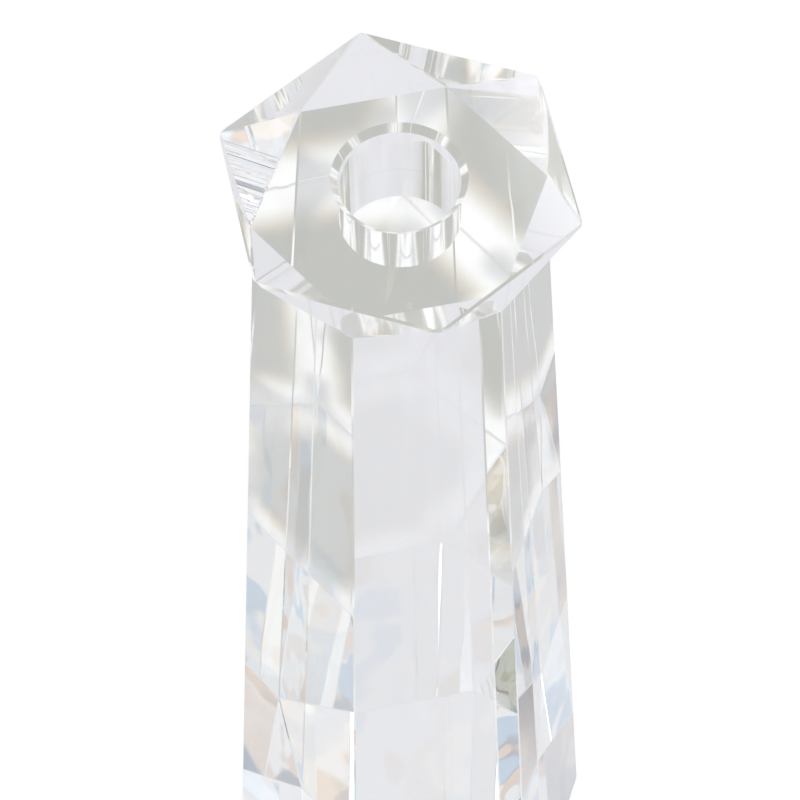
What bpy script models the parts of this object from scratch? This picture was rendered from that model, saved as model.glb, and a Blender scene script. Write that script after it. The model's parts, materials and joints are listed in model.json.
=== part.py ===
"""Hexagonal glass candlestick: a faceted head bonded onto a flared six-sided column.

All lengths are in metres. +Z is up, the axis of the candlestick is the Z axis, and the
origin is the middle of the base, which stands flat on the table.
The column's flat sides face -Y and +Y; the head's six corners are turned 30 degrees from
the column's, so the head joins the column through twelve triangular facets.
"""
import math

import bmesh
import bpy
from mathutils import Matrix

# Driving dimensions
HEIGHT = 0.250  # table to top face
HEAD_HEIGHT = 0.0125  # top face to neck
TOP_RADIUS = 0.0350  # top face, axis to corner
NECK_RADIUS = 0.0278  # head and column where they meet, axis to corner
BASE_RADIUS = 0.0405  # foot of the column, axis to corner
ARRIS = 0.0005  # width of the polished bevel along each outer edge

SOCKET_DIAMETER = 0.0225  # takes a 22 mm (7/8 in) taper candle
SOCKET_DEPTH = 0.0210
SOCKET_CHAMFER = 0.0013

BOND_THICKNESS = 0.0002
GAP = 0.0003  # clearance between neighbouring solids

SIDES = 6
ROUND_STEPS = 64

NECK_Z = HEIGHT - HEAD_HEIGHT
BOND_TOP = NECK_Z + BOND_THICKNESS / 2
BOND_FOOT = NECK_Z - BOND_THICKNESS / 2
HEAD_FOOT = BOND_TOP + GAP
COLUMN_TOP = BOND_FOOT - GAP


def clear_scene():
    for old in list(bpy.data.objects):
        bpy.data.objects.remove(old)


def new_collection(name):
    collection = bpy.data.collections.new(name)
    bpy.context.scene.collection.children.link(collection)
    return collection


def make_material(name, colour, roughness, transmission, ior):
    material = bpy.data.materials.new(name)
    material.use_nodes = True
    shader = material.node_tree.nodes["Principled BSDF"]
    shader.inputs["Base Color"].default_value = (*colour, 1)
    shader.inputs["Roughness"].default_value = roughness
    shader.inputs["Metallic"].default_value = 0
    shader.inputs["Transmission Weight"].default_value = transmission
    shader.inputs["IOR"].default_value = ior
    return material


def add_object(name, mesh, collection, material=None):
    piece = bpy.data.objects.new(name, mesh)
    collection.objects.link(piece)
    if material is not None:
        mesh.materials.append(material)
    return piece


def mesh_from(bm, name):
    mesh = bpy.data.meshes.new(name)
    bm.to_mesh(mesh)
    bm.free()
    return mesh


def hexagon_points(radius, height, turn):
    """Corners of a level hexagon, the first one turned by that many radians from +X."""
    step = 2 * math.pi / SIDES
    return [
        (radius * math.cos(turn + i * step), radius * math.sin(turn + i * step), height)
        for i in range(SIDES)
    ]


def add_arris_bevel(piece, joint_z):
    """Bevels every edge of a piece except those lying in its glued face at joint_z."""
    mesh = piece.data
    weights = mesh.attributes.new("bevel_weight_edge", "FLOAT", "EDGE")
    for edge in mesh.edges:
        heights = [mesh.vertices[i].co.z for i in edge.vertices]
        in_joint = all(abs(z - joint_z) < GAP / 2 for z in heights)
        weights.data[edge.index].value = 0.0 if in_joint else 1.0
    bevel = piece.modifiers.new("Arris", "BEVEL")
    bevel.limit_method = "WEIGHT"
    bevel.width = ARRIS
    bevel.segments = 1


def turned_mesh(name, profile):
    """A solid of revolution from a profile that starts and ends on the axis, top to bottom."""
    mesh = bpy.data.meshes.new(name)
    points = [(radius, 0, height) for radius, height in profile]
    edges = [(i, i + 1) for i in range(len(points) - 1)]
    mesh.from_pydata(points, edges, [])
    guide = bpy.data.objects.new(name, mesh)
    bpy.context.scene.collection.objects.link(guide)
    screw = guide.modifiers.new("Turn", "SCREW")
    screw.axis = "Z"
    screw.steps = ROUND_STEPS
    screw.render_steps = ROUND_STEPS
    screw.use_merge_vertices = True
    screw.merge_threshold = 0.00001
    bpy.context.view_layer.update()
    evaluated = guide.evaluated_get(bpy.context.evaluated_depsgraph_get())
    turned = bpy.data.meshes.new_from_object(evaluated)
    turned.name = name
    bpy.data.objects.remove(guide)
    bpy.data.meshes.remove(mesh)
    return turned


def make_socket_cutter(collection):
    """The candle socket as a solid: a blind bore with a flat floor and a chamfered mouth."""
    radius = SOCKET_DIAMETER / 2
    above = 0.004
    profile = [
        (0, HEIGHT + above),
        (radius + SOCKET_CHAMFER + above, HEIGHT + above),
        (radius, HEIGHT - SOCKET_CHAMFER),
        (radius, HEIGHT - SOCKET_DEPTH),
        (0, HEIGHT - SOCKET_DEPTH),
    ]
    cutter = add_object("socket_cutter", turned_mesh("socket_cutter", profile), collection)
    cutter.hide_render = True
    cutter.display_type = "WIRE"
    return cutter


def cut_socket(piece, cutter):
    cut = piece.modifiers.new("Candle socket", "BOOLEAN")
    cut.operation = "DIFFERENCE"
    cut.solver = "EXACT"
    cut.object = cutter


def make_head(collection, material, cutter):
    """The top block: a large hexagon above, a smaller one turned 30 degrees below."""
    bm = bmesh.new()
    slope = (TOP_RADIUS - NECK_RADIUS) / HEAD_HEIGHT
    foot_radius = NECK_RADIUS + slope * (HEAD_FOOT - NECK_Z)
    points = hexagon_points(TOP_RADIUS, HEIGHT, math.pi / SIDES)
    points += hexagon_points(foot_radius, HEAD_FOOT, 0)
    corners = [bm.verts.new(point) for point in points]
    bmesh.ops.convex_hull(bm, input=corners)
    bmesh.ops.dissolve_limit(bm, angle_limit=math.radians(1), verts=bm.verts, edges=bm.edges)
    head = add_object("head", mesh_from(bm, "head"), collection, material)
    add_arris_bevel(head, HEAD_FOOT)
    cut_socket(head, cutter)
    return head


def make_prism(name, foot_radius, top_radius, foot_z, top_z):
    """A six-sided straight or tapered prism with a corner on +X."""
    bm = bmesh.new()
    bmesh.ops.create_cone(
        bm,
        cap_ends=True,
        segments=SIDES,
        radius1=foot_radius,
        radius2=top_radius,
        depth=top_z - foot_z,
        matrix=Matrix.Translation((0, 0, (top_z + foot_z) / 2)),
    )
    first = max(bm.verts, key=lambda vertex: (vertex.co.x, vertex.co.y))
    turn = math.atan2(first.co.y, first.co.x)
    bmesh.ops.rotate(bm, verts=bm.verts, matrix=Matrix.Rotation(-turn, 3, "Z"))
    return mesh_from(bm, name)


def make_column(collection, material, cutter):
    """The flared stem, whose top holds the lower part of the socket."""
    mesh = make_prism("column", BASE_RADIUS, NECK_RADIUS, 0, COLUMN_TOP)
    column = add_object("column", mesh, collection, material)
    add_arris_bevel(column, COLUMN_TOP)
    cut_socket(column, cutter)
    return column


def make_bond_film(collection, material, cutter):
    """The cured clear adhesive between head and column, open where the socket passes."""
    mesh = make_prism("bond_film", NECK_RADIUS, NECK_RADIUS, BOND_FOOT, BOND_TOP)
    film = add_object("bond_film", mesh, collection, material)
    cut_socket(film, cutter)
    return film


def main():
    clear_scene()
    parts = new_collection("glass_candlestick")
    cutters = new_collection("cutters")
    glass = make_material("crystal_glass", (0.95, 0.96, 0.95), 0.0, 1.0, 1.52)
    adhesive = make_material("clear_adhesive", (0.93, 0.94, 0.92), 0.05, 1.0, 1.50)
    socket = make_socket_cutter(cutters)
    make_head(parts, glass, socket)
    make_bond_film(parts, adhesive, socket)
    make_column(parts, glass, socket)


main()
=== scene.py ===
"""Hexagonal glass candlestick: the looks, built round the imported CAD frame."""

import json
import math

import bmesh
import bpy
from mathutils import Matrix, Vector


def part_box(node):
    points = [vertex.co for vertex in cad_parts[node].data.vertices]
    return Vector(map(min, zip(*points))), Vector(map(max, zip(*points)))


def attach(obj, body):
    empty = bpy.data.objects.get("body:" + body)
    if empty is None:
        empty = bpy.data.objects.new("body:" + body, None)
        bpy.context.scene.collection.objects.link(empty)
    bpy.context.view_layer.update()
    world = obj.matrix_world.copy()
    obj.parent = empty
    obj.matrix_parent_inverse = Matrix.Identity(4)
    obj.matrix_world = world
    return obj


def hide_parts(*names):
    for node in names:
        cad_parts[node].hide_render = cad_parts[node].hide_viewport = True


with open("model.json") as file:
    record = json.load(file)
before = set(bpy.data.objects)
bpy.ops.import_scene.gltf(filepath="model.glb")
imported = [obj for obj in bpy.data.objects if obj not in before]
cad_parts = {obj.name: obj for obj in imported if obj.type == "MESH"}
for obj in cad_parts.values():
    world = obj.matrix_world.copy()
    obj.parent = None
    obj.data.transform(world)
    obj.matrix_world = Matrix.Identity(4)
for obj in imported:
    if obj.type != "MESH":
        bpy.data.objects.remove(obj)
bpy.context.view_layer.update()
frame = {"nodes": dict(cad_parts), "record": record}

# Sizes, in metres. Those of the CAD model are read from the frame.
SIDES = 6
FLAT_SHARE = math.cos(math.pi / SIDES)  # across flats over across corners

head_low, head_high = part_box("head")
film_low, film_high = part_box("bond_film")
column_low, column_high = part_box("column")

TOP_Z = head_high.z
NECK_TOP_Z = film_high.z
NECK_FOOT_Z = film_low.z
NECK_Z = (NECK_TOP_Z + NECK_FOOT_Z) / 2
BASE_Z = column_low.z
TOP_RADIUS = head_high.x / FLAT_SHARE
NECK_RADIUS = film_high.x
BASE_RADIUS = column_high.y / FLAT_SHARE
RIM_ARRIS = 0.0005  # the ground-off width along the head's edges
EDGE_ARRIS = 0.00025  # and along the column's
SHARP_EDGE = 0.1  # radians; flatter edges than this get no arris

mounts = {mount["name"]: mount for mount in frame["record"]["mounts"]}
SOCKET_FLOOR_Z = mounts["socket_floor"]["pos_m"][2]
SOCKET_RADIUS = min(v.co.xy.length for v in frame["nodes"]["head"].data.vertices)
SOCKET_CHAMFER = 0.0013
SOCKET_STEPS = 144
CUTTER_RISE = 0.004  # how far the socket's cutter stands above the glass
SAME_POINT = 0.00001
SMOOTH_BELOW = math.radians(12)
SEAM = 0.00001  # keeps the bonded faces from lying in one plane

GLASS_IOR = 1.52
ADHESIVE_IOR = 1.51
# Warm light and cool light, each as its share of red, green and blue and its own index.
COLOUR_BANDS = (((0.75, 0.5, 0.25), 1.512), ((0.25, 0.5, 0.75), 1.528))
GLASS_CLEARNESS = (0.66, 0.67, 0.6)  # share of red, green and blue left after a metre of glass
# How many waves a metre the polished faces have, and how deep they are.
GLASS_WAVE = (28, 0.00004)
ADHESIVE_WAVE = (900, 0.00001)


# ---------------------------------------------------------------- node helpers


def new_material(name):
    material = bpy.data.materials.new(name)
    material.use_nodes = True
    return material, material.node_tree, material.node_tree.nodes["Principled BSDF"]


def noise(tree, scale, detail, coordinates):
    texture = tree.nodes.new("ShaderNodeTexNoise")
    texture.inputs["Scale"].default_value = scale
    texture.inputs["Detail"].default_value = detail
    tree.links.new(coordinates, texture.inputs["Vector"])
    return texture.outputs["Fac"]


def smooth_step(tree, value, start, end, low, high):
    node = tree.nodes.new("ShaderNodeMapRange")
    node.interpolation_type = "SMOOTHSTEP"
    node.inputs["From Min"].default_value = start
    node.inputs["From Max"].default_value = end
    node.inputs["To Min"].default_value = low
    node.inputs["To Max"].default_value = high
    tree.links.new(value, node.inputs["Value"])
    return node.outputs["Result"]


def bump(tree, height, distance):
    node = tree.nodes.new("ShaderNodeBump")
    node.inputs["Distance"].default_value = distance
    tree.links.new(height, node.inputs["Height"])
    return node.outputs["Normal"]


def object_coordinates(tree):
    return tree.nodes.new("ShaderNodeTexCoord").outputs["Object"]


def fill(tree, sockets, values):
    """Gives each socket its value, or the link that stands for it."""
    for socket, value in zip(sockets, values):
        if isinstance(value, bpy.types.NodeSocket):
            tree.links.new(value, socket)
        else:
            socket.default_value = value


def number_math(tree, operation, *values):
    node = tree.nodes.new("ShaderNodeMath")
    node.operation = operation
    fill(tree, node.inputs, values)
    return node.outputs["Value"]


def vector_math(tree, operation, first, second, output="Vector"):
    node = tree.nodes.new("ShaderNodeVectorMath")
    node.operation = operation
    fill(tree, node.inputs, (first, second))
    return node.outputs[output]


def scaled(tree, colour, share):
    node = tree.nodes.new("ShaderNodeVectorMath")
    node.operation = "SCALE"
    fill(tree, (node.inputs[0], node.inputs["Scale"]), (colour, share))
    return node.outputs["Vector"]


# ------------------------------------------------------------------- materials


def add_shaders(tree, shaders):
    """One shader output that is the sum of several."""
    total = shaders[0]
    for shader in shaders[1:]:
        adder = tree.nodes.new("ShaderNodeAddShader")
        tree.links.new(total, adder.inputs[0])
        tree.links.new(shader, adder.inputs[1])
        total = adder.outputs["Shader"]
    return total


def mix_shaders(tree, share, first, second):
    mixer = tree.nodes.new("ShaderNodeMixShader")
    tree.links.new(share, mixer.inputs["Fac"])
    tree.links.new(first, mixer.inputs[1])
    tree.links.new(second, mixer.inputs[2])
    return mixer.outputs["Shader"]


def leaving_group():
    """A node group for glass as light meets it from inside, darkened by the way it came through it.

    Warm and cool light leave at slightly different angles, each by its own index.
    """
    tree = bpy.data.node_groups.new("leaving_glass", "ShaderNodeTree")
    tree.interface.new_socket("Normal", in_out="INPUT", socket_type="NodeSocketVector")
    tree.interface.new_socket("Shader", in_out="OUTPUT", socket_type="NodeSocketShader")
    normal = tree.nodes.new("NodeGroupInput").outputs["Normal"]
    length = tree.nodes.new("ShaderNodeLightPath").outputs["Ray Length"]
    left = vector_math(tree, "POWER", GLASS_CLEARNESS, length)
    parts = []
    reflected = (0, 0, 0)
    for colour, index in COLOUR_BANDS:
        fresnel = tree.nodes.new("ShaderNodeFresnel")
        fresnel.inputs["IOR"].default_value = index
        tree.links.new(normal, fresnel.inputs["Normal"])
        reflected = vector_math(tree, "ADD", reflected, scaled(tree, colour, fresnel.outputs["Fac"]))
        passed = number_math(tree, "SUBTRACT", 1, fresnel.outputs["Fac"])
        bend = tree.nodes.new("ShaderNodeBsdfRefraction")
        bend.inputs["Roughness"].default_value = 0
        bend.inputs["IOR"].default_value = index
        share = vector_math(tree, "MULTIPLY", left, scaled(tree, colour, passed))
        tree.links.new(share, bend.inputs["Color"])
        tree.links.new(normal, bend.inputs["Normal"])
        parts.append(bend.outputs["BSDF"])
    mirror = tree.nodes.new("ShaderNodeBsdfAnisotropic")
    mirror.inputs["Roughness"].default_value = 0
    tree.links.new(vector_math(tree, "MULTIPLY", left, reflected), mirror.inputs["Color"])
    tree.links.new(normal, mirror.inputs["Normal"])
    leaving = add_shaders(tree, parts + [mirror.outputs["BSDF"]])
    tree.links.new(leaving, tree.nodes.new("NodeGroupOutput").inputs["Shader"])
    return tree


def clear_material(name, index, wave, leaving):
    """Clear and polished, with a faint wave in its faces, and colours parted at edges.

    A camera ray, and light that has been to the floor and back, meet the plain shader.
    """
    material, tree, shader = new_material(name)
    shader.inputs["Base Color"].default_value = (1, 1, 1, 1)
    shader.inputs["IOR"].default_value = index
    shader.inputs["Transmission Weight"].default_value = 1
    shader.inputs["Roughness"].default_value = 0
    plain = shader.outputs["BSDF"]
    waves_per_metre, depth = wave
    normal = bump(tree, noise(tree, waves_per_metre, 1, object_coordinates(tree)), depth)
    tree.links.new(normal, shader.inputs["Normal"])
    group = tree.nodes.new("ShaderNodeGroup")
    group.node_tree = leaving
    tree.links.new(normal, group.inputs["Normal"])
    inside = tree.nodes.new("ShaderNodeNewGeometry").outputs["Backfacing"]
    either_side = mix_shaders(tree, inside, plain, group.outputs["Shader"])
    path = tree.nodes.new("ShaderNodeLightPath")
    from_floor = number_math(tree, "GREATER_THAN", path.outputs["Diffuse Depth"], 0.5)
    past_first = mix_shaders(tree, from_floor, either_side, plain)
    surface = mix_shaders(tree, path.outputs["Is Camera Ray"], past_first, plain)
    tree.links.new(surface, tree.nodes["Material Output"].inputs["Surface"])
    return material


def bonded_material():
    """A glass face wetted by the adhesive: light passes it without bending."""
    material, tree, shader = new_material("bonded_face")
    tree.nodes.remove(shader)
    clear = tree.nodes.new("ShaderNodeBsdfTransparent")
    tree.links.new(clear.outputs["BSDF"], tree.nodes["Material Output"].inputs["Surface"])
    return material


# -------------------------------------------------------------------- geometry


def hexagon(bm, radius, height, turn):
    step = 2 * math.pi / SIDES
    return [
        bm.verts.new((radius * math.cos(turn + i * step), radius * math.sin(turn + i * step), height))
        for i in range(SIDES)
    ]


def whole_body():
    """The outer form in one: top, twelve head facets, six column facets and base, with arrises."""
    bm = bmesh.new()
    top = hexagon(bm, TOP_RADIUS, TOP_Z, math.pi / SIDES)
    neck = hexagon(bm, NECK_RADIUS, NECK_Z, 0)
    base = hexagon(bm, BASE_RADIUS, BASE_Z, 0)
    bm.faces.new(top)
    bm.faces.new(list(reversed(base)))
    for i in range(SIDES):
        j = (i + 1) % SIDES
        bm.faces.new((neck[i], neck[j], top[i]))
        bm.faces.new((top[i], neck[j], top[j]))
        bm.faces.new((base[i], base[j], neck[j], neck[i]))
    bmesh.ops.recalc_face_normals(bm, faces=bm.faces)
    head_edges = [e for e in bm.edges if max(v.co.z for v in e.verts) > NECK_Z + RIM_ARRIS]
    bmesh.ops.bevel(bm, geom=head_edges, offset=RIM_ARRIS, segments=1, affect="EDGES")
    column_edges = [
        e
        for e in bm.edges
        if min(v.co.z for v in e.verts) < NECK_Z - RIM_ARRIS and e.calc_face_angle() > SHARP_EDGE
    ]
    bmesh.ops.bevel(bm, geom=column_edges, offset=EDGE_ARRIS, segments=1, affect="EDGES")
    return bm


def socket_cutter():
    """The candle socket as a turned solid."""
    profile = [
        (0, TOP_Z + CUTTER_RISE),
        (SOCKET_RADIUS + SOCKET_CHAMFER + CUTTER_RISE, TOP_Z + CUTTER_RISE),
        (SOCKET_RADIUS, TOP_Z - SOCKET_CHAMFER),
        (SOCKET_RADIUS, SOCKET_FLOOR_Z),
        (0, SOCKET_FLOOR_Z),
    ]
    points = [(radius, 0, height) for radius, height in profile]
    lines = [(i, i + 1) for i in range(len(points) - 1)]
    mesh = bpy.data.meshes.new("socket_cutter")
    mesh.from_pydata(points, lines, [])
    cutter = bpy.data.objects.new("socket_cutter", mesh)
    bpy.context.scene.collection.objects.link(cutter)
    screw = cutter.modifiers.new("Turn", "SCREW")
    screw.steps = screw.render_steps = SOCKET_STEPS
    screw.use_merge_vertices = True
    screw.merge_threshold = SAME_POINT
    return cutter


def slice_of(body, low, high):
    """The part of the body between two heights, with its cut faces given the second material slot."""
    bm = body.copy()
    for height, keep_above in ((low, True), (high, False)):
        if height is None:
            continue
        cut = bmesh.ops.bisect_plane(
            bm,
            geom=bm.verts[:] + bm.edges[:] + bm.faces[:],
            plane_co=(0, 0, height),
            plane_no=(0, 0, 1),
            clear_inner=keep_above,
            clear_outer=not keep_above,
        )
        loop = [g for g in cut["geom_cut"] if isinstance(g, bmesh.types.BMEdge)]
        for face in bmesh.ops.contextual_create(bm, geom=loop)["faces"]:
            face.material_index = 1
    bmesh.ops.recalc_face_normals(bm, faces=bm.faces)
    return bm


def glass_piece(name, bm, cutter, materials):
    """An object from a bmesh, with the socket cut out of it and only its round faces smooth."""
    mesh = bpy.data.meshes.new(name)
    bm.to_mesh(mesh)
    bm.free()
    for material in materials:
        mesh.materials.append(material)
    piece = bpy.data.objects.new(name, mesh)
    bpy.context.scene.collection.objects.link(piece)
    cut = piece.modifiers.new("Socket", "BOOLEAN")
    cut.operation = "DIFFERENCE"
    cut.solver = "EXACT"
    cut.object = cutter
    bpy.context.view_layer.update()
    evaluated = piece.evaluated_get(bpy.context.evaluated_depsgraph_get())
    finished = bpy.data.meshes.new_from_object(evaluated)
    piece.modifiers.clear()
    piece.data = finished
    bpy.data.meshes.remove(mesh)
    finished.name = name
    finished.shade_smooth()
    finished.set_sharp_from_angle(angle=SMOOTH_BELOW)
    return piece


def make_glass():
    leaving = leaving_group()
    crystal = clear_material("crystal_glass", GLASS_IOR, GLASS_WAVE, leaving)
    adhesive = clear_material("clear_adhesive", ADHESIVE_IOR, ADHESIVE_WAVE, leaving)
    bonded = bonded_material()
    body = whole_body()
    cutter = socket_cutter()
    slices = (
        ("head_glass", "head", NECK_TOP_Z, None),
        ("bond_line", "bond_film", NECK_FOOT_Z + SEAM, NECK_TOP_Z - SEAM),
        ("column_glass", "column", None, NECK_FOOT_Z),
    )
    for name, node, low, high in slices:
        outside = adhesive if node == "bond_film" else crystal
        piece = glass_piece(name, slice_of(body, low, high), cutter, (outside, bonded))
        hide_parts(node)
        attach(piece, "root")
    body.free()
    bpy.data.objects.remove(cutter)


# ----------------------------------------------------------------------- stage


FLOOR_SIZE = 8
FLOOR_COLOUR = (0.9, 0.9, 0.9)
# painted shade: the floor's colour under the middle of the base, darker and warmer than the bare floor
FLOOR_PAINTED_SHADE_UNDER_GLASS = (0.7, 0.705, 0.66)
FLOOR_ROUGHNESS = 0.6
FLOOR_GLOW = (0.2, 0.2, 0.18)  # lifts the bare floor to white, seen directly
FLOOR_GAP = 0.0001  # the film of air under the base
BASE_REACH = BASE_RADIUS * FLAT_SHARE
EDGE_FADE = 0.0006  # over which the gathered light ends at the edge of the base
EDGE_LIGHT = 0.36
EDGE_LIGHT_STARTS = (0.0215, 0.0225, 0.0235)  # from the axis, for red, green and blue
EDGE_LIGHT_FULL = 0.031
EDGE_PATCHES = 40  # to the metre
EDGE_PATCH_LEVELS = (0.4, 0.55, 0.1, 1)  # noise from and to, and the share of light it gives


def hexagon_reach(tree, where):
    """How far a point is from the axis, measured square to the nearest side of the base."""
    reach = None
    for side in range(SIDES // 2):
        angle = math.pi / SIDES + side * 2 * math.pi / SIDES
        facing = (math.cos(angle), math.sin(angle), 0)
        along = number_math(tree, "ABSOLUTE", vector_math(tree, "DOT_PRODUCT", where, facing, "Value"))
        reach = along if reach is None else number_math(tree, "MAXIMUM", reach, along)
    return reach


def edge_light(tree, where, reach):
    """Light that the column gathers on the table under the rim of its base, and none in the middle."""
    bands = tree.nodes.new("ShaderNodeCombineXYZ")
    for start, socket in zip(EDGE_LIGHT_STARTS, bands.inputs):
        tree.links.new(smooth_step(tree, reach, start, EDGE_LIGHT_FULL, 0, EDGE_LIGHT), socket)
    patches = smooth_step(tree, noise(tree, EDGE_PATCHES, 1, where), *EDGE_PATCH_LEVELS)
    within = smooth_step(tree, reach, BASE_REACH - EDGE_FADE, BASE_REACH, 1, 0)
    return scaled(tree, bands.outputs["Vector"], number_math(tree, "MULTIPLY", patches, within))


def floor_colour_and_painted_shade(tree, reach):
    """Pale, with painted shade under the middle of the base: a little darker and warmer there."""
    # share of painted shade, full under the middle of the base
    middle = smooth_step(tree, reach, EDGE_LIGHT_STARTS[0], BASE_REACH - EDGE_FADE, 1, 0)
    colour = tree.nodes.new("ShaderNodeMix")
    colour.data_type = "RGBA"
    colour.inputs["A"].default_value = (*FLOOR_COLOUR, 1)
    colour.inputs["B"].default_value = (*FLOOR_PAINTED_SHADE_UNDER_GLASS, 1)
    tree.links.new(middle, colour.inputs["Factor"])
    return colour.outputs["Result"]


def emission(tree, colour, strength):
    node = tree.nodes.new("ShaderNodeEmission")
    fill(tree, (node.inputs["Color"], node.inputs["Strength"]), (colour, strength))
    return node.outputs["Emission"]


def make_floor():
    bpy.ops.mesh.primitive_plane_add(size=FLOOR_SIZE)
    floor = bpy.context.object
    floor.name = "floor"
    floor.location.z = -FLOOR_GAP
    material, tree, shader = new_material("floor")
    where = object_coordinates(tree)
    reach = hexagon_reach(tree, where)
    tree.links.new(floor_colour_and_painted_shade(tree, reach), shader.inputs["Base Color"])
    shader.inputs["Roughness"].default_value = FLOOR_ROUGHNESS
    seen = tree.nodes.new("ShaderNodeLightPath").outputs["Is Camera Ray"]
    glow = emission(tree, (*FLOOR_GLOW, 1), seen)
    gathered = emission(tree, edge_light(tree, where, reach), 1)
    lit = add_shaders(tree, [shader.outputs["BSDF"], glow, gathered])
    tree.links.new(lit, tree.nodes["Material Output"].inputs["Surface"])
    floor.data.materials.append(material)


SKY_COLOUR = (0.92, 0.925, 0.97)
WALL_STRETCH = (22, 22, 2)  # upright folds in the wall round the studio
WALL_LEVELS = (0.4, 0.55, 0.5, 1.1)  # noise from and to, and the light it gives
HORIZON_BAND = (math.sin(math.radians(2)), math.sin(math.radians(22)))
# Soft patches round the studio: azimuth, elevation, half width and softness in degrees, and light added.
LIGHT_PATCHES = (
    (160.5, 52, 3, 1, 3.0),
    (58, 40, 5, 2, -0.8),
    (66.5, 55.5, 2.2, 0.8, -0.7),
    (-84, 59, 2.6, 2.6, -0.38),
    (151, 40.5, 3, 1.5, -0.4),
    (0, 58, 5, 2, -0.4),
    (-47, 50, 4, 2, -0.35),
    (-22.5, 72, 1.5, 0.6, -0.75),
)
CLUTTER_STRETCH = (45, 15, 27)  # how fine the room's clutter is along each axis
CLUTTER_DARK = (-0.45, -0.45, -0.43)
CLUTTER_DARK_LEVELS = (0.36, 0.39, 1, 0)
CLUTTER_BRIGHT = (0.22, 0.22, 0.2)
CLUTTER_BRIGHT_LEVELS = (0.6, 0.63, 0, 1)


def direction(azimuth, elevation):
    """A unit vector; azimuth 0 is towards the front, and it grows anticlockwise seen from above."""
    a, e = math.radians(azimuth), math.radians(elevation)
    return Vector((math.sin(a) * math.cos(e), -math.cos(a) * math.cos(e), math.sin(e)))


def light_patch(tree, where, azimuth, elevation, half_width, softness, level):
    """A round soft patch of more or less light in the surroundings."""
    facing = vector_math(tree, "DOT_PRODUCT", where, direction(azimuth, elevation), "Value")
    outside = math.cos(math.radians(half_width + softness))
    inside = math.cos(math.radians(half_width))
    return smooth_step(tree, facing, outside, inside, 0, level)


def backdrop(tree, where):
    """An even pale sky above a wall with soft folds."""
    height = tree.nodes.new("ShaderNodeSeparateXYZ")
    tree.links.new(where, height.inputs[0])
    rise = smooth_step(tree, height.outputs["Z"], *HORIZON_BAND, 0, 1)
    folds = noise(tree, 1, 2, vector_math(tree, "MULTIPLY", where, WALL_STRETCH))
    node = tree.nodes.new("ShaderNodeMix")
    node.data_type = "RGBA"
    tree.links.new(smooth_step(tree, folds, *WALL_LEVELS), node.inputs["A"])
    node.inputs["B"].default_value = (*SKY_COLOUR, 1)
    tree.links.new(rise, node.inputs["Factor"])
    return node.outputs["Result"]


def clutter(tree, where):
    """Small dark and bright things round the room, as two colours to add."""
    things = noise(tree, 1, 1.5, vector_math(tree, "MULTIPLY", where, CLUTTER_STRETCH))
    dark = scaled(tree, CLUTTER_DARK, smooth_step(tree, things, *CLUTTER_DARK_LEVELS))
    bright = scaled(tree, CLUTTER_BRIGHT, smooth_step(tree, things, *CLUTTER_BRIGHT_LEVELS))
    return [dark, bright]


def make_world():
    world = bpy.data.worlds.new("studio")
    bpy.context.scene.world = world
    world.use_nodes = True
    tree = world.node_tree
    where = tree.nodes.new("ShaderNodeTexCoord").outputs["Generated"]
    total = backdrop(tree, where)
    for part in [light_patch(tree, where, *patch) for patch in LIGHT_PATCHES] + clutter(tree, where):
        total = vector_math(tree, "ADD", total, part)
    total = vector_math(tree, "MAXIMUM", total, (0, 0, 0))
    tree.links.new(total, tree.nodes["Background"].inputs["Color"])


LIGHT_PATHS = 64  # how often light may bounce; trapped light would leave black patches


def set_light_paths():
    cycles = bpy.context.scene.cycles
    cycles.max_bounces = LIGHT_PATHS
    cycles.transmission_bounces = LIGHT_PATHS
    cycles.glossy_bounces = LIGHT_PATHS
    cycles.transparent_max_bounces = LIGHT_PATHS
    cycles.sample_clamp_indirect = 0
    cycles.blur_glossy = 0  # or the glass turns dull once light has met the floor


CAMERA_AZIMUTH = math.radians(-11.3)
CAMERA_ELEVATION = math.radians(53.5)
CAMERA_DISTANCE = 0.694  # from the middle of the top face
CAMERA_ROLL = math.radians(-1.03)
CAMERA_LENS = 172.2
CAMERA_NEAR = 0.01
AIM_ASIDE = -0.0006  # where it aims, to the right of the axis
AIM_DROP = 0.0736  # and below the top face


def make_camera():
    """Looks down at the head from the front, a little from the left."""
    data = bpy.data.cameras.new("camera")
    data.lens = CAMERA_LENS
    data.clip_start = CAMERA_NEAR
    camera = bpy.data.objects.new("camera", data)
    bpy.context.scene.collection.objects.link(camera)
    aside = Vector((math.cos(CAMERA_AZIMUTH), math.sin(CAMERA_AZIMUTH), 0))
    towards = Vector((math.sin(CAMERA_AZIMUTH), -math.cos(CAMERA_AZIMUTH), 0))
    rise = math.sin(CAMERA_ELEVATION) * CAMERA_DISTANCE
    camera.location = towards * math.cos(CAMERA_ELEVATION) * CAMERA_DISTANCE + Vector((0, 0, TOP_Z + rise))
    aim = aside * AIM_ASIDE + Vector((0, 0, TOP_Z - AIM_DROP)) - camera.location
    turned = aim.to_track_quat("-Z", "Y").to_matrix() @ Matrix.Rotation(CAMERA_ROLL, 3, "Z")
    camera.rotation_euler = turned.to_euler()
    bpy.context.scene.camera = camera


def main():
    make_glass()
    make_floor()
    make_world()
    make_camera()
    set_light_paths()
    bpy.context.scene.view_settings.view_transform = "Standard"


main()
